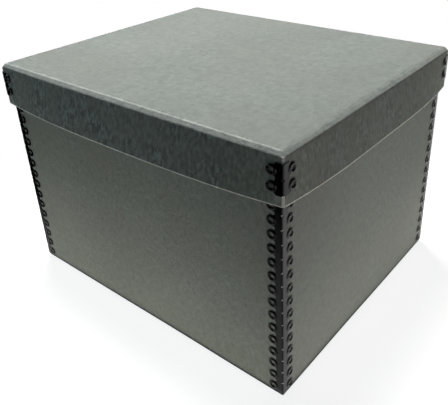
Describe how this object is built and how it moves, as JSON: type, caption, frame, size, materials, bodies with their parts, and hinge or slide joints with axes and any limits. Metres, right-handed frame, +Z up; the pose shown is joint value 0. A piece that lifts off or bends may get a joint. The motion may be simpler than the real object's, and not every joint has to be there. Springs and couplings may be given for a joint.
{
  "type": "record storage box",
  "caption": "Rigid grey board storage box for files and papers, with a telescoping lift-off lid and pressed steel corner stays.",
  "frame": {"origin": "centre of the base tray's underside, on the surface the box stands on", "axes": "+X along the long sides, +Y towards the back, +Z up; the picture's near corner is +X -Y"},
  "size_m": [0.4106, 0.3494, 0.2699],
  "materials": {
    "board": "matte",
    "stay_steel": "gloss"
  },
  "bodies": {
    "base": {"base_tray": "board", "base_stay_front_right": "stay_steel", "base_stay_front_left": "stay_steel", "base_stay_back_right": "stay_steel", "base_stay_back_left": "stay_steel"},
    "lid": {"lid_tray": "board", "lid_stay_front_right": "stay_steel", "lid_stay_front_left": "stay_steel", "lid_stay_back_right": "stay_steel", "lid_stay_back_left": "stay_steel"}
  },
  "joints": [
    {"name": "lid_lift", "type": "slide", "parent": "base", "child": "lid", "axis": [0, 0, 1], "range_m": [0, 0.18]}
  ]
}
